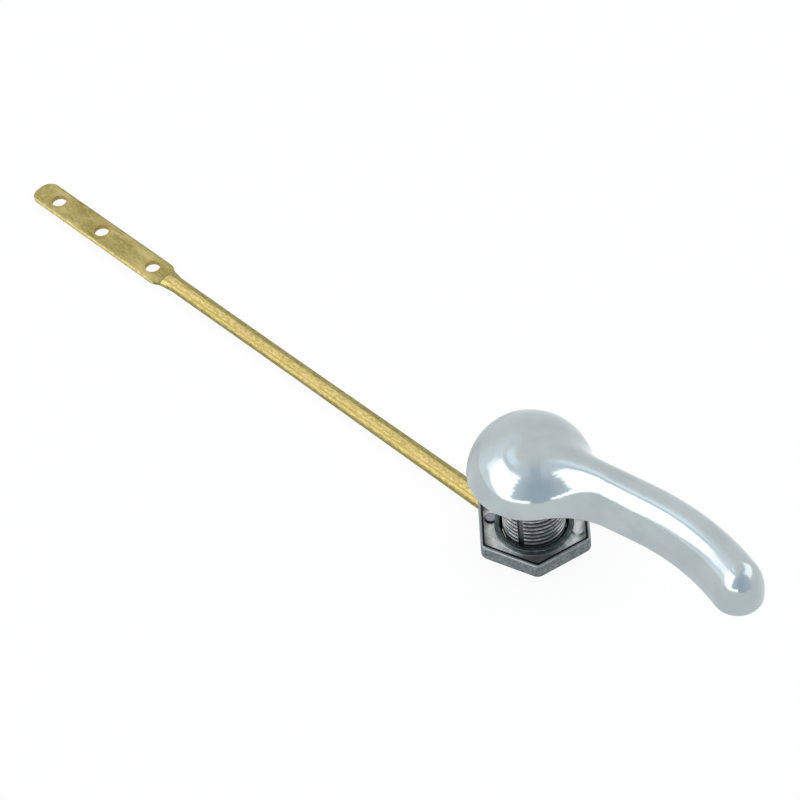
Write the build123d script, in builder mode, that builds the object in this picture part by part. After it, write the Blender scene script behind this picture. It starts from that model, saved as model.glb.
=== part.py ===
import os

from build123d import *

os.makedirs("parts", exist_ok=True)

# A cistern trip lever in millimetres. The seat that bears on the outside of the
# cistern wall is the plane Z = 0, +Z points out of the wall along the shank, and
# the lift arm runs along -X inside the cistern.

# Bushing: the threaded body that is clamped in the wall
SHANK_D = 15.88
SHANK_LENGTH = 20.6
SHANK_CHAMFER = 0.9
FLANGE_D = 24.8
FLANGE_T = 2.2
FLANGE_EDGE_R = 0.5
NECK_SIZE = 16.6
NECK_LENGTH = 4.5
NECK_CORNER_R = 2.6
PARTING_W = 1.6
PARTING_DEPTH = 0.75
PARTING_ANGLE = -70.6

# Handle: dome, lever and stem in one casting
DOME_D = 31.75
DOME_WALL = 1.9
DOME_RIM_GAP = 0.8
STEM_D = 9.5
STEM_CLEARANCE = 0.08
STEM_RECESS = 2.6
BOSS_D = 14.0
THRUST_GAP = 0.3
SOCKET_DEPTH = 13.0
LEVER_HEADING = 10.2
LEVER_STRAIGHT = 33.6
LEVER_BEND_R = 62.5
LEVER_BEND_ARC = 27.4
LEVER_ROOT_W = 10.8
LEVER_TIP_W = 12.6
LEVER_ROOT_DROP = 0.275
LEVER_TIP_H = 13.2
LEVER_CROWN_H = 10.0
LEVER_EDGE_R = 1.4
LEVER_BLEND_R = 20.0
CORE_WALL = 2.4
CORE_START = 22.0

# Stop: a lug inside the dome runs in a notch of the flange
TRAVEL = 45.0
STOP_CENTRE = 180.0
STOP_LUG_ARC = 20.0
STOP_ENGAGEMENT = 1.8
STOP_SIDE_GAP = 0.6
STOP_END_GAP = 1.5

# Lock nut: cast hexagonal cup with a wall round its face and a collar round its bore
NUT_ACROSS_FLATS = 27.5
NUT_T = 4.35
NUT_CORNER_R = 2.4
NUT_TURN = 16.8
NUT_RIM_W = 1.15
NUT_RIM_H = 2.5
NUT_EDGE_R = 0.4
NUT_THREAD_CLEARANCE = 0.08
COLLAR_D = 20.0
COLLAR_BORE_D = 17.2
COLLAR_H = 1.55
COLLAR_EDGE_R = 0.4
NUT_ARM_GAP = 0.35
EJECTOR_D = 2.8
EJECTOR_H = 0.6
EJECTOR_REACH = 11.2
EJECTOR_ANGLE = 31.0

# Lift arm: tapered rod, bent into the stem at one end and flattened at the other
ARM_ROOT_D = 5.3
ARM_D = 4.6
ARM_TAPER_END = 88.0
ARM_BEND_R = 5.2
ARM_SHANK_GAP = 0.4
ARM_LENGTH = 196.2
PADDLE_LENGTH = 56.6
PADDLE_W = 8.2
PADDLE_T = 1.35
PADDLE_NEAR_R = 4.0
PADDLE_TIP_R = 3.3
PADDLE_EDGE_R = 0.35
SHOULDER_LENGTH = 8.5
SHOULDER_OVERLAP = 5.5
SHOULDER_W = 8.0
SHOULDER_T = 2.6
DIE_MARGIN = 0.5
DIE_CORNER_R = 2.0
CHAIN_HOLE_D = 4.3
CHAIN_HOLE_SETBACK = 8.7
CHAIN_HOLE_OUTER_PITCH = 18.8
CHAIN_HOLE_INNER_PITCH = 22.0

# Heights that more than one piece shares
shank_end = -SHANK_LENGTH
stem_end = shank_end + STEM_RECESS
arm_z = shank_end - ARM_SHANK_GAP - ARM_ROOT_D / 2
nut_z = arm_z + ARM_ROOT_D / 2 + NUT_ARM_GAP
nut_floor = nut_z + NUT_T - NUT_RIM_H
collar_top = nut_floor + COLLAR_H
paddle_bottom = arm_z - PADDLE_T / 2
outer_hole = ARM_LENGTH - CHAIN_HOLE_SETBACK
middle_hole = outer_hole - CHAIN_HOLE_OUTER_PITCH
inner_hole = middle_hole - CHAIN_HOLE_INNER_PITCH
shoulder_start = ARM_LENGTH - PADDLE_LENGTH - SHOULDER_LENGTH + SHOULDER_OVERLAP
thrust_z = FLANGE_T + THRUST_GAP
socket_top = stem_end + SOCKET_DEPTH
dome_r = DOME_D / 2
lever_root_h = dome_r - LEVER_ROOT_DROP
cavity_r = dome_r - DOME_WALL
rim_plane = Plane.XY.offset(DOME_RIM_GAP)
lug_inner_r = FLANGE_D / 2 - STOP_ENGAGEMENT
notch_inner_r = lug_inner_r - STOP_SIDE_GAP
lug_start = STOP_CENTRE + TRAVEL / 2 - STOP_LUG_ARC / 2
notch_arc = TRAVEL + STOP_LUG_ARC + 2 * STOP_END_GAP
notch_start = STOP_CENTRE - notch_arc / 2

# The lever's plan line leaves the shank axis straight and then bends down
with BuildLine(rim_plane) as lever_line:
    straight = PolarLine((0, 0), LEVER_STRAIGHT, LEVER_HEADING)
    JernArc(straight @ 1, straight % 1, LEVER_BEND_R, -LEVER_BEND_ARC)
lever_path = lever_line.wire()
lever_tip = Axis(lever_path @ 1, (0, 0, 1))
core_start = CORE_START / lever_path.length
core_path = lever_path.trim(core_start, 1)


def lever_plane(share):
    """The plane square to the lever's line at a share of its length, with its y axis up."""
    tangent = lever_path % share
    return Plane(lever_path @ share, x_dir=Vector(0, 0, 1).cross(tangent), z_dir=tangent)


def between(root, tip, share):
    """A size that changes evenly from the lever's root to its tip."""
    return root + (tip - root) * share


def lever_profile(share, wall):
    """The lever's section a wall inside its skin: upright sides under a rounded crown."""
    half_w = between(LEVER_ROOT_W, LEVER_TIP_W, share) / 2 - wall
    spring = between(lever_root_h, LEVER_TIP_H, share) - LEVER_CROWN_H
    with BuildSketch() as profile:
        with BuildLine():
            Polyline((half_w, spring), (half_w, 0), (-half_w, 0), (-half_w, spring))
            EllipticalCenterArc((0, spring), half_w, LEVER_CROWN_H - wall, arc_size=180)
        make_face()
    return profile.sketch


def on_dome(edge):
    """Whether an edge lies on the dome's skin on the lever's side, clear of the rim."""
    middle = edge @ 0.5
    return (
        abs((middle - rim_plane.origin).length - dome_r) < 0.01
        and middle.X > 0
        and middle.Z > DOME_RIM_GAP + 0.01
    )


def cavity_profile():
    """Half the section of the dome's hollow, left of the shank axis and clear of the boss."""
    with BuildSketch() as profile:
        with BuildLine():
            CenterArc((0, DOME_RIM_GAP), cavity_r, 90, 90)
            Polyline((-cavity_r, DOME_RIM_GAP), (0, DOME_RIM_GAP), (0, DOME_RIM_GAP + cavity_r))
        make_face()
        with Locations((0, thrust_z)):
            Rectangle(BOSS_D, DOME_D, align=(Align.CENTER, Align.MIN), mode=Mode.SUBTRACT)
    return profile.sketch


with BuildPart() as bushing:
    with BuildSketch():
        Circle(FLANGE_D / 2)
    extrude(amount=FLANGE_T)
    fillet(bushing.edges().group_by(Axis.Z)[-1], FLANGE_EDGE_R)
    with BuildSketch():
        RectangleRounded(NECK_SIZE, NECK_SIZE, NECK_CORNER_R)
    extrude(amount=-NECK_LENGTH)
    with BuildSketch():
        Circle(SHANK_D / 2)
    extrude(amount=-SHANK_LENGTH)
    chamfer(bushing.edges().group_by(Axis.Z)[0], SHANK_CHAMFER)
    with BuildSketch(Plane.XY.offset(shank_end)):
        with PolarLocations(SHANK_D / 2, 2, PARTING_ANGLE):
            Rectangle(2 * PARTING_DEPTH, PARTING_W)
    extrude(amount=SHANK_LENGTH - NECK_LENGTH, mode=Mode.SUBTRACT)
    with BuildSketch(Plane.XZ.rotated((0, 0, notch_start))):
        with Locations((notch_inner_r, 0)):
            Rectangle(FLANGE_D, FLANGE_T, align=Align.MIN)
    revolve(axis=Axis.Z, revolution_arc=notch_arc, mode=Mode.SUBTRACT)
    with BuildSketch(Plane.XY.offset(FLANGE_T)):
        Circle(STEM_D / 2 + STEM_CLEARANCE)
    extrude(amount=-FLANGE_T - SHANK_LENGTH, mode=Mode.SUBTRACT)
bushing.part.label = "bushing"
export_step(bushing.part, "parts/bushing.step")

with BuildPart() as handle:
    with BuildSketch(Plane.XZ):
        with BuildLine():
            CenterArc((0, DOME_RIM_GAP), dome_r, 90, 90)
            Polyline((-dome_r, DOME_RIM_GAP), (0, DOME_RIM_GAP), (0, DOME_RIM_GAP + dome_r))
        make_face()
    revolve(axis=Axis.Z)
    for share in (0, 1):
        with BuildSketch(lever_plane(share)):
            add(lever_profile(share, 0))
    sweep(path=lever_path, multisection=True)
    with BuildSketch(lever_plane(1)):
        add(lever_profile(1, 0))
        split(bisect_by=Plane.YZ, keep=Keep.BOTTOM)
    revolve(axis=lever_tip, revolution_arc=180)
    fillet(handle.edges().filter_by(on_dome), LEVER_BLEND_R)
    fillet(handle.faces().sort_by(Axis.Z)[0].outer_wire().edges(), LEVER_EDGE_R)
    with BuildSketch(Plane.XZ):
        add(cavity_profile())
        split(bisect_by=Plane.YZ.offset(-lug_inner_r), keep=Keep.TOP)
    revolve(axis=Axis.Z, mode=Mode.SUBTRACT)
    with BuildSketch(Plane.XZ.rotated((0, 0, lug_start + STOP_LUG_ARC - 180))):
        add(cavity_profile())
        split(bisect_by=Plane.YZ.offset(-lug_inner_r), keep=Keep.BOTTOM)
    revolve(axis=Axis.Z, revolution_arc=360 - STOP_LUG_ARC, mode=Mode.SUBTRACT)
    for share in (core_start, 1):
        with BuildSketch(lever_plane(share)):
            add(lever_profile(share, CORE_WALL))
    sweep(path=core_path, multisection=True, mode=Mode.SUBTRACT)
    with BuildSketch(lever_plane(1)):
        add(lever_profile(1, CORE_WALL))
        split(bisect_by=Plane.YZ, keep=Keep.BOTTOM)
    revolve(axis=lever_tip, revolution_arc=180, mode=Mode.SUBTRACT)
    with BuildSketch(Plane.XY.offset(thrust_z)):
        Circle(STEM_D / 2)
    extrude(amount=stem_end - thrust_z)
    with BuildSketch(Plane.XY.offset(stem_end)):
        Circle(ARM_ROOT_D / 2)
    extrude(amount=SOCKET_DEPTH, mode=Mode.SUBTRACT)
handle.part.label = "handle"
export_step(handle.part, "parts/handle.step")

with BuildPart() as lock_nut:
    with BuildSketch(Plane.XY.offset(nut_z)) as outline:
        RegularPolygon(NUT_ACROSS_FLATS / 2, 6, major_radius=False, rotation=NUT_TURN)
        fillet(outline.vertices(), NUT_CORNER_R)
    extrude(amount=NUT_T)
    fillet(lock_nut.edges().group_by(Axis.Z)[0] + lock_nut.edges().group_by(Axis.Z)[-1], NUT_EDGE_R)
    with BuildSketch(Plane.XY.offset(nut_z + NUT_T)) as recess:
        RegularPolygon(NUT_ACROSS_FLATS / 2 - NUT_RIM_W, 6, major_radius=False, rotation=NUT_TURN)
        fillet(recess.vertices(), NUT_CORNER_R - NUT_RIM_W)
    extrude(amount=-NUT_RIM_H, mode=Mode.SUBTRACT)
    with BuildSketch(Plane.XY.offset(nut_floor)):
        with PolarLocations(EJECTOR_REACH, 2, EJECTOR_ANGLE):
            Circle(EJECTOR_D / 2)
    extrude(amount=EJECTOR_H)
    with BuildSketch(Plane.XY.offset(nut_floor)):
        Circle(COLLAR_D / 2)
    extrude(amount=COLLAR_H)
    fillet(lock_nut.edges().filter_by_position(Axis.Z, collar_top - 0.01, collar_top + 0.01), COLLAR_EDGE_R)
    with BuildSketch(Plane.XY.offset(nut_floor)):
        Circle(COLLAR_BORE_D / 2)
    extrude(amount=COLLAR_H, mode=Mode.SUBTRACT)
    with BuildSketch(Plane.XY.offset(nut_z)):
        Circle(SHANK_D / 2 + NUT_THREAD_CLEARANCE)
    extrude(amount=NUT_T, mode=Mode.SUBTRACT)
lock_nut.part.label = "lock_nut"
export_step(lock_nut.part, "parts/lock_nut.step")


def arm_plane(reach):
    """The plane square to the arm at a distance from the shank axis, with its y axis up."""
    return Plane((-reach, 0, arm_z), x_dir=(0, -1, 0), z_dir=(-1, 0, 0))


def paddle_outline(margin, near_r):
    """The plan of the flattened end a margin inside its edge, with corners towards the rod."""
    with BuildSketch() as outline:
        with Locations((margin - ARM_LENGTH, 0)):
            Rectangle(PADDLE_LENGTH - 2 * margin, PADDLE_W - 2 * margin, align=(Align.MIN, Align.CENTER))
        fillet(outline.vertices().group_by(Axis.X)[0], PADDLE_TIP_R - margin)
        fillet(outline.vertices().group_by(Axis.X)[-1], near_r)
    return outline.sketch


with BuildPart() as lift_arm:
    with BuildSketch(Plane.XY.offset(paddle_bottom)):
        add(paddle_outline(0, PADDLE_NEAR_R))
    extrude(amount=PADDLE_T)
    fillet(lift_arm.edges().group_by(Axis.Z)[0] + lift_arm.edges().group_by(Axis.Z)[-1], PADDLE_EDGE_R)
    with BuildSketch(arm_plane(shoulder_start)):
        Circle(ARM_D / 2)
    with BuildSketch(arm_plane(shoulder_start + SHOULDER_LENGTH)):
        Ellipse(SHOULDER_W / 2, SHOULDER_T / 2)
    loft()
    with BuildSketch(Plane.XY.offset(paddle_bottom)):
        add(paddle_outline(DIE_MARGIN, DIE_CORNER_R))
    extrude(amount=-ARM_D, mode=Mode.SUBTRACT)
    with BuildSketch(Plane.XY.offset(paddle_bottom + PADDLE_T)):
        add(paddle_outline(DIE_MARGIN, DIE_CORNER_R))
    extrude(amount=ARM_D, mode=Mode.SUBTRACT)
    with BuildSketch(Plane.XY.offset(paddle_bottom)):
        with Locations((-outer_hole, 0), (-middle_hole, 0), (-inner_hole, 0)):
            Circle(CHAIN_HOLE_D / 2)
    extrude(amount=PADDLE_T, mode=Mode.SUBTRACT)
    with BuildSketch(arm_plane(ARM_TAPER_END)):
        Circle(ARM_D / 2)
    extrude(amount=shoulder_start - ARM_TAPER_END)
    with BuildSketch(arm_plane(ARM_BEND_R)):
        Circle(ARM_ROOT_D / 2)
    with BuildSketch(arm_plane(ARM_TAPER_END)):
        Circle(ARM_D / 2)
    loft()
    with BuildLine(Plane.XZ) as bend:
        leg = Line((0, socket_top), (0, arm_z + ARM_BEND_R))
        JernArc(leg @ 1, leg % 1, ARM_BEND_R, -90)
    with BuildSketch(Plane.XY.offset(socket_top)):
        Circle(ARM_ROOT_D / 2)
    sweep(path=bend.wire())
lift_arm.part.label = "lift_arm"
export_step(lift_arm.part, "parts/lift_arm.step")
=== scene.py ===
import math

import bmesh
import bpy
from mathutils import Matrix, Vector


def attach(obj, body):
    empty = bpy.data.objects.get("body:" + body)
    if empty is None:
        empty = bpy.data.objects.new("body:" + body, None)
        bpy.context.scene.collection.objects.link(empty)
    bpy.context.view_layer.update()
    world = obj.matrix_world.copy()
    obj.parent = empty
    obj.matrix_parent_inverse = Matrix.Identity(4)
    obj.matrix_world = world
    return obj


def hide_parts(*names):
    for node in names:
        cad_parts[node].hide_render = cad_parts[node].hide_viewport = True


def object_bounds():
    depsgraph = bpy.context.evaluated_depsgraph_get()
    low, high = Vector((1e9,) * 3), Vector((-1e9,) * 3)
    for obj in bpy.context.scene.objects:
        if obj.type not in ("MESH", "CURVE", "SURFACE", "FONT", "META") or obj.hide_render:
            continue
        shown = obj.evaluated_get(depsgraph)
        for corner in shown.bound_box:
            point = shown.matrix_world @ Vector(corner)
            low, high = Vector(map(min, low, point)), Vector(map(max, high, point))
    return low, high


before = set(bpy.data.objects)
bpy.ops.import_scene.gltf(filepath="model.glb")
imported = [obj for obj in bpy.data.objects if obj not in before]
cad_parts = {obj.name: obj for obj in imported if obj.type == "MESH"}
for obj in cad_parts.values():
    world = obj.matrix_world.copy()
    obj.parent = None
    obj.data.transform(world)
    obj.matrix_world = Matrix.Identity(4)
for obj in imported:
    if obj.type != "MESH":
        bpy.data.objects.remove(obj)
cad_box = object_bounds()

# Bushing: a zinc die casting with a flange that sits under the dome, a square neck
# for the hole in the cistern, and a shank whose thread is cast with it. The thread
# stops at two lengthwise grooves where the halves of the die met. The thread's roots,
# and the thread where it runs down into the nut, are painted dark as shade.
MM = 0.001


class Shade:
    """A socket in a node tree, so that sums of masks read as plain expressions."""

    def __init__(self, tree, socket=None):
        self.tree = tree
        self.socket = socket

    def make(self, kind, settings=None, sockets=None, out=0):
        """A new node with its settings and its sockets' values or links."""
        node = self.tree.nodes.new(kind)
        for name, value in (settings or {}).items():
            setattr(node, name, value)
        for name, value in (sockets or {}).items():
            self.feed(node.inputs[name], value)
        return Shade(self.tree, node.outputs[out])

    def feed(self, socket, value):
        """Links a shade to a socket, or sets the socket to a plain value."""
        if isinstance(value, Shade):
            self.tree.links.new(value.socket, socket)
        else:
            socket.default_value = value

    def maths(self, operation, first, second=0.0):
        return self.make("ShaderNodeMath", {"operation": operation}, {0: first, 1: second})

    def __add__(self, other):
        return self.maths("ADD", self, other)

    def __radd__(self, other):
        return self.maths("ADD", other, self)

    def __sub__(self, other):
        return self.maths("SUBTRACT", self, other)

    def __rsub__(self, other):
        return self.maths("SUBTRACT", other, self)

    def __mul__(self, other):
        return self.maths("MULTIPLY", self, other)

    def __rmul__(self, other):
        return self.maths("MULTIPLY", other, self)

    def __abs__(self):
        return self.maths("ABSOLUTE", self)

    def larger(self, other):
        return self.maths("MAXIMUM", self, other)

    def ramp(self, low, high):
        """0 below low and 1 above high, with a soft step between them."""
        sockets = {"Value": self, "From Min": low, "From Max": high}
        return self.make("ShaderNodeMapRange", {"interpolation_type": "SMOOTHSTEP"}, sockets)

    def band(self, low, high, soft):
        """1 between low and high, with soft edges."""
        return self.ramp(low - soft, low + soft) * (1 - self.ramp(high - soft, high + soft))

    def tint(self, first, second):
        """The first colour where this mask is 0 and the second where it is 1."""
        return self.make("ShaderNodeMix", {"data_type": "RGBA"}, {0: self, 6: first, 7: second}, 2)


def new_finish(name):
    """A metal material with its shader, and its surface's place in millimetres for the masks."""
    finish = bpy.data.materials.new(name)
    finish.use_nodes = True
    tree = finish.node_tree
    shader = tree.nodes["Principled BSDF"]
    shader.inputs["Metallic"].default_value = 1.0
    start = Shade(tree)
    place = start.make("ShaderNodeTexCoord", out=3)
    place = start.make("ShaderNodeVectorMath", {"operation": "SCALE"}, {0: place, "Scale": 1 / MM})
    split = start.make("ShaderNodeSeparateXYZ", sockets={0: place}).socket.node
    x, y, z = (Shade(tree, split.outputs[axis]) for axis in range(3))
    return finish, shader, place, x, y, z


def distance(first, second):
    """The length of the step that two distances at right angles make."""
    return first.maths("SQRT", first * first + second * second)


def grain(place, size, detail=4.0, stretch=(1.0, 1.0, 1.0)):
    """Cloudy variation from 0 to 1 whose patches are about size millimetres wide."""
    place = place.make("ShaderNodeMapping", sockets={"Vector": place, "Scale": stretch})
    sockets = {"Vector": place, "Scale": 1.0 / size, "Detail": detail, "Roughness": 0.55}
    return place.make("ShaderNodeTexNoise", sockets=sockets)


def dents(place, shader, height):
    """Joins a height in millimetres to the shader as a bump."""
    bump = place.make("ShaderNodeBump", sockets={"Height": height, "Distance": MM, "Strength": 1.0})
    place.feed(shader.inputs["Normal"], bump)


touching = 1e-6
shank_r = 7.94 * MM
root_r = 7.2 * MM
thread_pitch = 1.411 * MM
thread_turns = 14
turns_past_end = 1.5
thread_steps = 120
# Points of one turn: share of the pitch, and share of the thread's depth
thread_form = (
    (0.0, 0.97),
    (0.06, 1.0),
    (0.17, 1.0),
    (0.24, 0.95),
    (0.5, 0.06),
    (0.57, 0.0),
    (0.68, 0.0),
    (0.75, 0.08),
)
shank_end = -20.6 * MM
shank_chamfer = 0.9 * MM
bore_r = 4.83 * MM
neck_side = 16.6 * MM
neck_foot = -4.5 * MM
neck_corner = 2.6 * MM
flat_side_least = 5 * MM
flange_r = 12.4 * MM
flange_top = 2.2 * MM
flange_edge = 0.5 * MM
notch_r = 10.0 * MM
notch_from = math.radians(146)
notch_to = math.radians(214)
round_steps = 78
notch_steps = 18
groove_angle = math.radians(-70.6)
groove_half = 0.8 * MM
groove_bed_half = 0.85 * groove_half
groove_bed_reach = 0.86 * groove_half
groove_floor = 7.19 * MM


def slice_shell(shell, point, normal, trim=False):
    """Cuts edges into a shell along a plane and, to trim it, drops what lies past the plane."""
    whole = shell.verts[:] + shell.edges[:] + shell.faces[:]
    bmesh.ops.bisect_plane(shell, geom=whole, plane_co=point, plane_no=normal, clear_outer=trim)


def close_ring(shell, loop_edges, radius):
    """Carries an open edge loop in to a round hole and returns the hole's edges."""
    made = bmesh.ops.extrude_edge_only(shell, edges=loop_edges)["geom"]
    for vert in (part for part in made if isinstance(part, bmesh.types.BMVert)):
        vert.co.xy = vert.co.xy.normalized() * radius
    return [part for part in made if isinstance(part, bmesh.types.BMEdge) and part.is_boundary]


def level_edges(shell, height):
    """The open edges of a shell that lie at one height."""
    return [
        edge for edge in shell.edges
        if edge.is_boundary and all(abs(vert.co.z - height) < touching for vert in edge.verts)
    ]


def bore_through(shell, heights):
    """Closes a shell's two open ends round the bore, and joins them by the bore's wall."""
    holes = []
    for height in heights:
        holes += close_ring(shell, level_edges(shell, height), bore_r)
    bmesh.ops.bridge_loops(shell, edges=holes)
    bmesh.ops.recalc_face_normals(shell, faces=shell.faces)


shank = bmesh.new()
line = []
for turn in range(thread_turns):
    for share, rise in thread_form:
        height = shank_end + (turn - turns_past_end + share) * thread_pitch
        line.append(shank.verts.new((root_r + rise * (shank_r - root_r), 0, height)))
line_edges = [shank.edges.new(pair) for pair in zip(line, line[1:])]
bmesh.ops.spin(
    shank, geom=line + line_edges, axis=(0, 0, 1), cent=(0, 0, 0),
    dvec=(0, 0, thread_pitch / thread_steps), angle=math.tau, steps=thread_steps,
)
bmesh.ops.remove_doubles(shank, verts=shank.verts, dist=touching)
slice_shell(shank, (0, 0, shank_end), (0, 0, -1), trim=True)
slice_shell(shank, (0, 0, shank_end + shank_chamfer), (0, 0, 1))
slice_shell(shank, (0, 0, neck_foot), (0, 0, 1), trim=True)
across_groove = Vector((-math.sin(groove_angle), math.cos(groove_angle), 0))
out_of_groove = Vector((math.cos(groove_angle), math.sin(groove_angle), 0))
for offset in (-groove_half, -groove_bed_half, groove_bed_half, groove_half):
    slice_shell(shank, across_groove * offset, across_groove)
for vert in shank.verts:
    limit = shank_r - shank_chamfer + (vert.co.z - shank_end)
    if vert.co.xy.length > limit:
        vert.co.xy = vert.co.xy.normalized() * limit
    reach = vert.co.dot(out_of_groove)
    if abs(vert.co.dot(across_groove)) < groove_bed_reach and abs(reach) > groove_floor:
        vert.co -= out_of_groove * (reach - math.copysign(groove_floor, reach))
bore_through(shank, (shank_end, neck_foot))

neck = bmesh.new()
neck_form = Matrix.Diagonal((neck_side, neck_side, -neck_foot, 1))
bmesh.ops.create_cube(neck, size=1.0, matrix=Matrix.Translation((0, 0, neck_foot / 2)) @ neck_form)
upright = [e for e in neck.edges if abs(e.verts[0].co.z - e.verts[1].co.z) > touching]
bmesh.ops.bevel(
    neck, geom=upright, offset=neck_corner, offset_type="OFFSET",
    affect="EDGES", segments=8, profile=0.5, material=-1,
)
ends = [face for face in neck.faces if abs(face.normal.z) > 0.9]
bmesh.ops.delete(neck, geom=ends, context="FACES_ONLY")
flat_sides = [e for e in neck.edges if e.calc_length() > flat_side_least and e.is_boundary]
bmesh.ops.subdivide_edges(neck, edges=flat_sides, cuts=7, use_grid_fill=False)
bore_through(neck, (neck_foot, 0.0))

flange = bmesh.new()
notch_arc = notch_to - notch_from
notched_outline = [(bore_r, 0), (notch_r, 0), (notch_r, flange_top), (bore_r, flange_top)]
whole_outline = notched_outline[:2] + [(flange_r, 0), (flange_r, flange_top)] + notched_outline[2:]
for outline, start, arc, steps in (
    (whole_outline, notch_to, math.tau - notch_arc, round_steps),
    (notched_outline, notch_from, notch_arc, notch_steps),
):
    heading = Matrix.Rotation(start, 3, "Z")
    corners = [flange.verts.new(heading @ Vector((reach, 0, height))) for reach, height in outline]
    sides = [flange.edges.new((corners[k - 1], corners[k])) for k in range(len(corners))]
    bmesh.ops.spin(flange, geom=corners + sides, axis=(0, 0, 1), cent=(0, 0, 0), angle=arc, steps=steps)
bmesh.ops.remove_doubles(flange, verts=flange.verts, dist=touching)
bmesh.ops.holes_fill(flange, edges=[e for e in flange.edges if e.is_boundary], sides=8)
bmesh.ops.recalc_face_normals(flange, faces=flange.faces)
top_edge = [
    edge for edge in flange.edges
    if all(v.co.z > flange_top - touching and v.co.xy.length > flange_r - touching for v in edge.verts)
]
bmesh.ops.bevel(
    flange, geom=top_edge, offset=flange_edge, offset_type="OFFSET",
    affect="EDGES", segments=3, profile=0.5, material=-1,
)


def piece_from(name, shells, sharp=math.radians(35)):
    """One smooth-shaded object from closed shells, with its creases kept sharp."""
    whole = bmesh.new()
    for shell in shells:
        mesh = bpy.data.meshes.new(name)
        shell.to_mesh(mesh)
        shell.free()
        whole.from_mesh(mesh)
        bpy.data.meshes.remove(mesh)
    mesh = bpy.data.meshes.new(name)
    for face in whole.faces:
        face.smooth = True
    for edge in whole.edges:
        edge.smooth = edge.is_manifold and edge.calc_face_angle() < sharp
    whole.to_mesh(mesh)
    whole.free()
    piece = bpy.data.objects.new(name, mesh)
    bpy.context.scene.collection.objects.link(piece)
    return piece


# Limits of the masks are in millimetres, and those of the cloudy variation are shares
patchy = (0.3, 0.7)
crest_limits = (7.5, 7.92)
groove_limits = (0.45, 0.85)
groove_waver = 0.9
# Heights of the painted shade on the thread where it runs down into the nut.
painted_nut_shade_limits = (-18.2, -15.6)
neck_limits = (-4.7, -4.45)
crest_dark = (0.26, 0.29, 0.29, 1)
crest_light = (0.70, 0.72, 0.71, 1)
# The thread's roots are painted near black, as painted shade between the crests.
root_shade_dark = (0.03, 0.036, 0.038, 1)
root_shade_light = (0.10, 0.115, 0.115, 1)
groove_dark = (0.08, 0.09, 0.09, 1)
groove_light = (0.34, 0.36, 0.36, 1)
# Painted shade on the thread inside and just above the nut.
painted_nut_shade = (0.02, 0.024, 0.024, 1)
skin_dark = (0.15, 0.17, 0.175, 1)
skin_light = (0.36, 0.39, 0.395, 1)
bushing_finish, shader, place, x, y, z = new_finish("cast_zinc_thread")
crest = distance(x, y).ramp(*crest_limits)
cloud = grain(place, 2.2)
speck = grain(place, 0.35, 2.0)
beside_groove = abs(x * across_groove.x + y * across_groove.y + (speck - 0.5) * groove_waver)
in_groove = 1 - beside_groove.ramp(*groove_limits)
# Painted shade where the thread runs into the nut.
shaded_in_nut = 1 - z.ramp(*painted_nut_shade_limits)
bright = cloud.ramp(*patchy).tint(crest_dark, crest_light)
# Painted shade in the thread's roots.
colour = crest.tint(speck.tint(root_shade_dark, root_shade_light), bright)
colour = in_groove.tint(colour, speck.tint(groove_dark, groove_light))
colour = (shaded_in_nut * 0.85).tint(colour, painted_nut_shade)
cast_skin = (cloud * 0.5 + speck * 0.5).ramp(*patchy).tint(skin_dark, skin_light)
colour = z.ramp(*neck_limits).tint(colour, cast_skin)
place.feed(shader.inputs["Base Color"], colour)
place.feed(shader.inputs["Roughness"], 0.5 - 0.22 * crest + 0.14 * speck)
dents(place, shader, cloud * 0.05 + speck * 0.03)
bushing_piece = piece_from("bushing_threaded", (shank, neck, flange))
bushing_piece.data.materials.append(bushing_finish)
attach(bushing_piece, "bushing")
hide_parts("bushing")

# Lock nut: a six-sided zinc die casting, left as it came out of the die. A thin rim
# runs round its face and a collar rings the bore. The floor inside and the top of the
# rim are painted light and the sides dark, as painted light and shade, and painted
# shade darkens the corners, the floor along the walls and towards one corner, a line
# inside the rim, the bore, and a ring round the foot of one of the pads where pins
# pushed it out. That pad's top is grey, and the collar is painted much darker than
# the floor.
nut_turn = math.radians(16.8)
pad_reach = 11.2
pad_angle = math.radians(31)
pad_limits = (1.2, 1.4)
# Painted shade in a ring round the pad's foot, in millimetres from the pad's centre.
pad_foot_shade_band = (1.3, 1.7, 0.12)
cup_wall_limits = (12.5, 12.7)
cup_floor_limits = (-19.0, -18.9)
collar_limits = (9.95, 10.1)
collar_foot_limits = (-18.75, -18.6)
# Painted shade in the bore and on the collar's inner edge, within these radii.
bore_limits = (8.68, 8.9)
# Limits of the painted shade in the corners, along the walls and towards one corner of the floor.
corner_limits = (11.6, 13.2)
by_wall_limits = (11.2, 12.3)
wall_top_limits = (-16.9, -16.5)
# A painted shadow along the inside of the rim's top.
rim_shadow_band = (12.2, 13.12, 0.1)
near_corner_shade_limits = (8.4, 10.6)
# The sides are painted darker as shade, and the floor inside and the rim's top lighter as light, by the
# way each face turns.
side_dark = (0.085, 0.10, 0.105, 1)
side_light = (0.29, 0.32, 0.325, 1)
lit_floor_dark = (0.55, 0.61, 0.585, 1)
lit_floor_light = (0.95, 0.99, 0.97, 1)
# The collar is painted much darker than the floor round it.
collar_dark = (0.045, 0.062, 0.06, 1)
collar_light = (0.15, 0.185, 0.185, 1)
# Colours of the painted shade on the floor's corners and along its walls.
corner_shade_dark = (0.03, 0.036, 0.035, 1)
corner_shade_light = (0.2, 0.22, 0.21, 1)
pad_grey = (0.33, 0.35, 0.39, 1)
# Colour of the painted shade round the pad's foot.
pad_foot_shade_grey = (0.03, 0.038, 0.038, 1)
lit_rim_top_grey = (0.40, 0.44, 0.44, 1)
# Colour of the painted shadow inside the rim.
rim_shadow_black = (0.008, 0.01, 0.01, 1)
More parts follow.
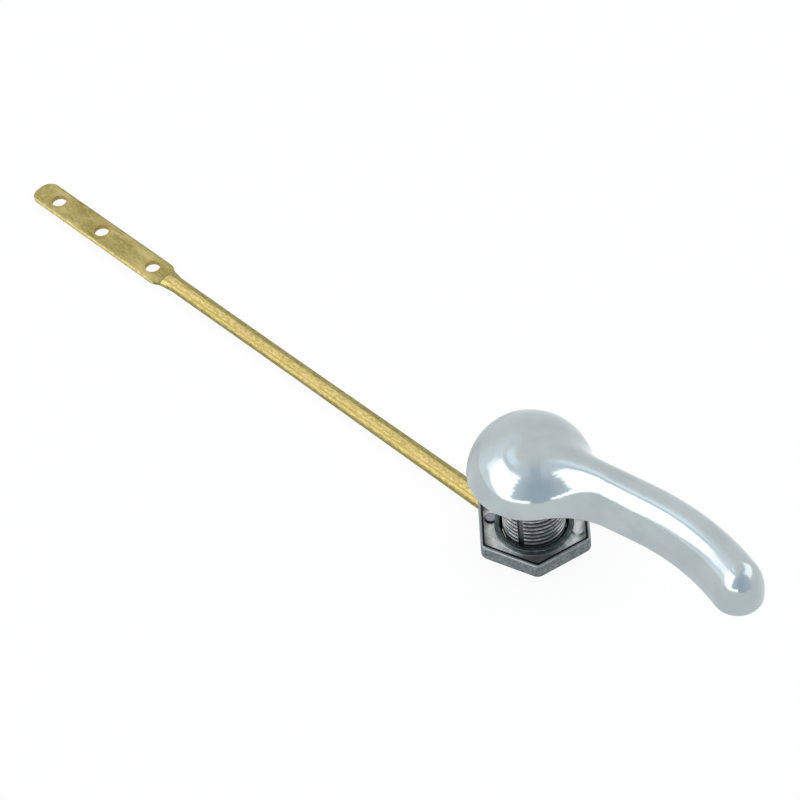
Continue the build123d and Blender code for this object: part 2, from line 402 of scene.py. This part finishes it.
# Colour of the painted shade in the bore.
bore_shade_black = (0.006, 0.007, 0.007, 1)
nut_finish, shader, place, x, y, z = new_finish("cast_zinc_nut")
radius = distance(x, y)
face_angles = [nut_turn + math.pi / 6 + side * math.pi / 3 for side in range(3)]
first, second, third = (abs(x * math.cos(angle) + y * math.sin(angle)) for angle in face_angles)
flats = first.larger(second).larger(third)
cloud = grain(place, 3.5)
patch = grain(place, 1.3, 3.0)
speck = grain(place, 0.4, 3.0)
in_cup = (1 - flats.ramp(*cup_wall_limits)) * z.ramp(*cup_floor_limits)
on_collar = (1 - radius.ramp(*collar_limits)) * z.ramp(*collar_foot_limits)
# Painted shade in the bore.
shaded_bore = 1 - radius.ramp(*bore_limits)
# Painted shade masks: the corners, the floor by the walls, and towards one corner.
in_corner = radius.ramp(*corner_limits)
by_wall = flats.ramp(*by_wall_limits)
wall_top = z.ramp(*wall_top_limits)
# Painted shadow along the rim's inner edge.
painted_rim_shadow = flats.band(*rim_shadow_band) * wall_top
shade_near_corner = (x * 0.73 - y * 0.68).ramp(*near_corner_shade_limits)
from_pad = distance(x + pad_reach * math.cos(pad_angle), y + pad_reach * math.sin(pad_angle))
on_pad = 1 - from_pad.ramp(*pad_limits)
# Painted shade round the foot of the one pad.
painted_pad_foot_shade = from_pad.band(*pad_foot_shade_band)
# Painted shade on the sides and painted light on the floor inside.
shaded_side_grey = (patch * 0.4 + speck * 0.6).ramp(*patchy).tint(side_dark, side_light)
floor_grey = (cloud * 0.5 + patch * 0.5).ramp(0.35, 0.65).tint(lit_floor_dark, lit_floor_light)
collar_grey = (patch * 0.6 + speck * 0.4).ramp(*patchy).tint(collar_dark, collar_light)
# Painted shade over the floor.
painted_corner_shade = speck.tint(corner_shade_dark, corner_shade_light)
painted_shade_mask = (in_corner * 0.4).larger(by_wall * 0.3).larger(shade_near_corner * 0.8)
colour = in_cup.tint(shaded_side_grey, painted_shade_mask.tint(floor_grey, painted_corner_shade))
colour = (on_pad * in_cup).tint(colour, pad_grey)
# Painted shade round the pad's foot.
colour = (painted_pad_foot_shade * in_cup * 0.9).tint(colour, pad_foot_shade_grey)
# Painted light on the top of the rim and of the sides.
colour = (wall_top * 0.5).tint(colour, lit_rim_top_grey)
colour = (painted_rim_shadow * 0.97).tint(colour, rim_shadow_black)
colour = on_collar.tint(colour, collar_grey)
colour = shaded_bore.tint(colour, bore_shade_black)
place.feed(shader.inputs["Base Color"], colour)
place.feed(shader.inputs["Roughness"], 0.42 + 0.2 * speck - 0.08 * cloud)
dents(place, shader, cloud * 0.06 + speck * 0.025)
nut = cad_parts["lock_nut"]
nut.data.materials.clear()
nut.data.materials.append(nut_finish)

# Lift arm: one drawn brass rod, bent into the handle's stem. Its far end is pressed
# flat between dies and punched for the chain, which left it browner and marked.
# Painted shade darkens the rod's sides, the far edge of the flat, a band beside the
# rod's bright line, and the step where the rod meets the flat.
rod_axis = -23.65
die_end = -140.1
die_half = 3.6
die_corner = 2.0
hole_places = (-146.7, -168.7, -187.5)
hole_rim_limits = (2.3, 3.4)
# Angles round the rod are in radians
# Outside these angles the rod's sides are painted darker, as painted shade.
unshaded_top_angles = (0.29, 1.64, 0.13)
# A band beside the rod's bright line is painted darker, as painted shade over the sheet's reflection.
shaded_band_angles = (0.67, 0.92, 0.11)
angle_waver = 0.18
rod_dark = (0.44, 0.35, 0.11, 1)
rod_light = (0.76, 0.62, 0.265, 1)
# Colour of that painted shade.
shaded_band_brown = (0.31, 0.25, 0.075, 1)
rod_tarnish = (0.62, 0.43, 0.21, 1)
# Colours of the painted shade on the rod's sides.
side_shade_dark = (0.22, 0.19, 0.06, 1)
side_shade_light = (0.42, 0.365, 0.14, 1)
edge_dark = (0.44, 0.37, 0.135, 1)
edge_light = (0.74, 0.63, 0.30, 1)
flat_dark = (0.31, 0.27, 0.075, 1)
flat_light = (0.58, 0.49, 0.215, 1)
flat_tarnish = (0.26, 0.21, 0.055, 1)
flat_fleck = (0.60, 0.51, 0.25, 1)
hole_rim_brown = (0.40, 0.28, 0.08, 1)
# Colour of the painted shade along the step.
step_shade_brown = (0.16, 0.125, 0.03, 1)
brass_finish, shader, place, x, y, z = new_finish("drawn_brass")
past = (x - (die_end - die_corner)).larger(0.0)
beside = (abs(y) - (die_half - die_corner)).larger(0.0)
from_mark = distance(past, beside) - die_corner
flat = 1 - from_mark.ramp(-0.15, 0.15)
# Painted shade along the step where the rod meets the flat.
step = from_mark.band(-0.12, 0.3, 0.12) * x.ramp(die_end - 3.5, die_end - 1.5)
streak = grain(place, 1.1, 4.0, (0.03, 1.0, 1.0))
fleck = grain(place, 0.4, 3.0, (0.35, 1.0, 1.0))
cloud = grain(place, 6.0, 5.0, (0.5, 1.0, 1.0))
tarnish = grain(place, 2.4, 5.0, (0.35, 1.0, 1.0)).ramp(0.42, 0.68)
speck = grain(place, 0.3, 2.0)
around = place.maths("ARCTAN2", z - rod_axis, 0 - y) + (fleck - 0.5) * angle_waver
rod_brass = (streak * 0.3 + fleck * 0.7).ramp(0.36, 0.64).tint(rod_dark, rod_light)
# Painted shade on the band beside the bright line.
rod_brass = (around.band(*shaded_band_angles) * 0.8).tint(rod_brass, shaded_band_brown)
rod_brass = (tarnish * 0.3).tint(rod_brass, rod_tarnish)
# Painted shade on the rod's sides and on the flat's far edge.
rod_side_shade = fleck.ramp(*patchy).tint(side_shade_dark, side_shade_light)
rod_brass = around.band(*unshaded_top_angles).tint(rod_side_shade, rod_brass)
near_edge = fleck.ramp(*patchy).tint(edge_dark, edge_light)
# The flat's far edge takes the painted shade.
flat_edge = y.ramp(-2.0, 2.0).tint(near_edge, rod_side_shade)
rod_brass = (1 - x.ramp(die_end - 2.5, die_end + 2.5)).tint(rod_brass, flat_edge)
flat_brass = cloud.ramp(*patchy).tint(flat_dark, flat_light)
flat_brass = (tarnish * 0.6).tint(flat_brass, flat_tarnish)
flat_brass = (fleck.ramp(0.4, 0.75) * 0.65).tint(flat_brass, flat_fleck)
first, second, third = (1 - distance(x - hole, y).ramp(*hole_rim_limits) for hole in hole_places)
hole_rims = first.larger(second).larger(third)
flat_brass = (hole_rims * 0.3).tint(flat_brass, hole_rim_brown)
colour = flat.tint(rod_brass, flat_brass)
# Painted shade along the step.
colour = (step * 0.75).tint(colour, step_shade_brown)
place.feed(shader.inputs["Base Color"], colour)
place.feed(shader.inputs["Roughness"], 0.4 + 0.14 * streak + 0.06 * flat + 0.08 * speck)
dents(place, shader, streak * 0.03 + fleck * 0.018 + speck * 0.01 + cloud * flat * 0.08)
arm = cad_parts["lift_arm"]
arm.data.materials.clear()
arm.data.materials.append(brass_finish)

# Handle: dome, lever and stem in one zinc die casting, polished and chrome plated.
# The plate is bright, with a slight haze all over, and cloudier on the side of the
# dome that is turned to the lift arm.
cloudy_limits = (-9.8, -6.8)
chrome_dark = (0.425, 0.48, 0.49, 1)
chrome_light = (0.475, 0.53, 0.54, 1)
chrome_finish, shader, place, x, y, z = new_finish("chrome_plate")
cloud = grain(place, 9.0, 3.0)
wave = grain(place, 3.2, 2.0)
haze = grain(place, 0.5, 3.0)
cloudy_side = 1 - x.ramp(*cloudy_limits)
place.feed(shader.inputs["Base Color"], cloud.ramp(*patchy).tint(chrome_dark, chrome_light))
place.feed(shader.inputs["Roughness"], 0.05 + 0.05 * cloud + 0.03 * haze + 0.33 * cloudy_side)
dents(place, shader, wave * 0.03 + haze * 0.002)
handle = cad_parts["handle"]
handle.data.materials.clear()
handle.data.materials.append(chrome_finish)

# Floor: a pale matt sheet that the part lies on. It looks nearly white to the camera
# and bright in the metal, and it keeps the part's soft shadow.
floor_centre = (-0.06, 0.0, cad_box[0][2])
floor_reach = 0.31
floor_grey = (0.82, 0.82, 0.82, 1)
white_to_camera = 0.93
white_in_metal = 0.6
sheet = bmesh.new()
bmesh.ops.create_grid(
    sheet, x_segments=1, y_segments=1, size=floor_reach, matrix=Matrix.Translation(floor_centre)
)
floor_mesh = bpy.data.meshes.new("floor")
sheet.to_mesh(floor_mesh)
sheet.free()
floor = bpy.data.objects.new("floor", floor_mesh)
bpy.context.scene.collection.objects.link(floor)
floor_finish = bpy.data.materials.new("pale_floor")
floor_finish.use_nodes = True
floor_tree = floor_finish.node_tree
paper = floor_tree.nodes["Principled BSDF"]
paper.inputs["Base Color"].default_value = floor_grey
paper.inputs["Roughness"].default_value = 0.9
paper.inputs["Specular IOR Level"].default_value = 0.0
floor_shade = Shade(floor_tree)
ray = floor_shade.make("ShaderNodeLightPath").socket.node
ray_kinds = ("Is Camera Ray", "Is Glossy Ray", "Is Transmission Ray")
camera_ray, glossy_ray, clear_ray = (Shade(floor_tree, ray.outputs[kind]) for kind in ray_kinds)
white = floor_shade.make("ShaderNodeEmission", sockets={"Color": (1, 1, 1, 1), "Strength": 1.0})
lit = Shade(floor_tree, paper.outputs[0])
share = (camera_ray * white_to_camera).larger(glossy_ray.larger(clear_ray) * white_in_metal)
mixed = floor_shade.make("ShaderNodeMixShader", sockets={0: share, 1: lit, 2: white})
floor_shade.feed(floor_tree.nodes["Material Output"].inputs["Surface"], mixed)
floor_mesh.materials.append(floor_finish)

# Light: a white tent round the part, with a dimmer opening towards the camera,
# brighter sheets hung to both sides of it, and a seam above them. To the camera
# itself the tent is plain white.
tent_white = (1.0, 1.0, 1.0, 1)
opening_grey = (0.76, 0.83, 0.92, 1)
opening_middle_grey = (0.62, 0.72, 0.83, 1)
halo_white = (1.24, 1.28, 1.34, 1)
strip_white = (1.45, 1.54, 1.64, 1)
seam_grey = (0.95, 1.03, 1.1, 1)
sheet_end_white = (1.75, 1.8, 1.85, 1)
sheet_white = (2.4, 2.4, 2.4, 1)
far_sheet_white = (1.8, 1.85, 1.9, 1)
fold_stretch = (1.5, 1.5, 22.0)
fold_rise = 0.3
facing_limits = (0.0, 0.2)
world = bpy.data.worlds.new("tent")
bpy.context.scene.world = world
world.use_nodes = True
tent = Shade(world.node_tree)
toward = tent.make("ShaderNodeTexCoord", out=0)
folds = tent.make("ShaderNodeMapping", sockets={"Vector": toward, "Scale": fold_stretch})
folds = tent.make("ShaderNodeTexNoise", sockets={"Vector": folds, "Scale": 1.0, "Detail": 3.0})


def cosine_to(direction):
    """How far the tent's point lies along a direction, as a cosine."""
    return tent.make("ShaderNodeVectorMath", {"operation": "DOT_PRODUCT"}, {0: toward, 1: direction}, 1)


def hung_sheet(heading, half_width, heights, soft, frayed=0.0, slant=0.0):
    """A mask over the tent: a sheet round a heading and between two heights, in degrees.

    The soft edges are those of its sides, its foot and its head, as sines.
    """
    side_soft, foot_soft, head_soft = soft
    angle = math.radians(heading)
    ahead = cosine_to((math.cos(angle), math.sin(angle), 0))
    level = cosine_to((-math.sin(angle), math.cos(angle), 0))
    aside = level + (folds - 0.5) * frayed
    rise = cosine_to((0, 0, 1)) + (folds - 0.5) * frayed * fold_rise
    reach = math.sin(math.radians(half_width))
    foot, head = (math.sin(math.radians(height)) for height in heights)
    wide = 1 - abs(aside).ramp(reach - side_soft, reach + side_soft)
    above_foot = (rise + level * slant).ramp(foot - foot_soft, foot + foot_soft)
    tall = above_foot * (1 - rise.ramp(head - head_soft, head + head_soft))
    return wide * tall * ahead.ramp(*facing_limits)


opening = hung_sheet(heading=-34, half_width=46, heights=(-14, 62), soft=(0.15, 0.05, 0.12))
opening_middle = hung_sheet(heading=-38, half_width=18, heights=(-14, 40), soft=(0.2, 0.05, 0.3))
halo = hung_sheet(heading=-124, half_width=40, heights=(-14, 58), soft=(0.3, 0.06, 0.25))
sheet_light = hung_sheet(
    heading=-104, half_width=25, heights=(-3, 42), soft=(0.06, 0.04, 0.06), frayed=0.4, slant=0.51
)
sheet_end = hung_sheet(
    heading=-134, half_width=9, heights=(11, 34), soft=(0.06, 0.05, 0.08), frayed=0.2
)
sheet_foot = hung_sheet(
    heading=-66, half_width=17, heights=(-14, -1.5), soft=(0.06, 0.03, 0.02), frayed=0.15
)
seam = hung_sheet(heading=-117, half_width=13, heights=(46, 51), soft=(0.08, 0.015, 0.015))
upper_strip = hung_sheet(heading=-122, half_width=15, heights=(52, 65), soft=(0.15, 0.02, 0.04))
far_sheet = hung_sheet(
    heading=50, half_width=30, heights=(12, 48), soft=(0.15, 0.12, 0.12), frayed=0.2
)
glow = opening.tint(tent_white, opening_grey)
glow = opening_middle.tint(glow, opening_middle_grey)
glow = (halo * 0.9).tint(glow, halo_white)
glow = (upper_strip * 0.8).tint(glow, strip_white)
glow = (seam * 0.9).tint(glow, seam_grey)
glow = sheet_end.tint(glow, sheet_end_white)
glow = sheet_light.larger(sheet_foot).tint(glow, sheet_white)
glow = far_sheet.tint(glow, far_sheet_white)
seen_by_camera = tent.make("ShaderNodeLightPath", out=0)
glow = seen_by_camera.tint(glow, tent_white)
tent.feed(world.node_tree.nodes["Background"].inputs["Color"], glow)

# Camera: a long lens above the near side of the handle, about two thirds of a metre
# from the dome, with the lift arm running away from it.
camera_place = (0.318234, -0.305499, 0.513408)
camera_right = (0.70354848, 0.70629425, -0.07853647)
camera_up = (-0.48673543, 0.55944433, 0.67090287)
camera_back = (0.51779162, -0.43378621, 0.73737464)
lens = bpy.data.cameras.new("camera")
lens.lens = 123.75
lens.sensor_width = 36.0
lens.clip_start = 0.01
camera = bpy.data.objects.new("camera", lens)
bpy.context.scene.collection.objects.link(camera)
view_axes = Matrix((camera_right, camera_up, camera_back)).transposed().to_4x4()
camera.matrix_world = Matrix.Translation(camera_place) @ view_axes
bpy.context.scene.camera = camera
bpy.context.scene.view_settings.view_transform = "Standard"
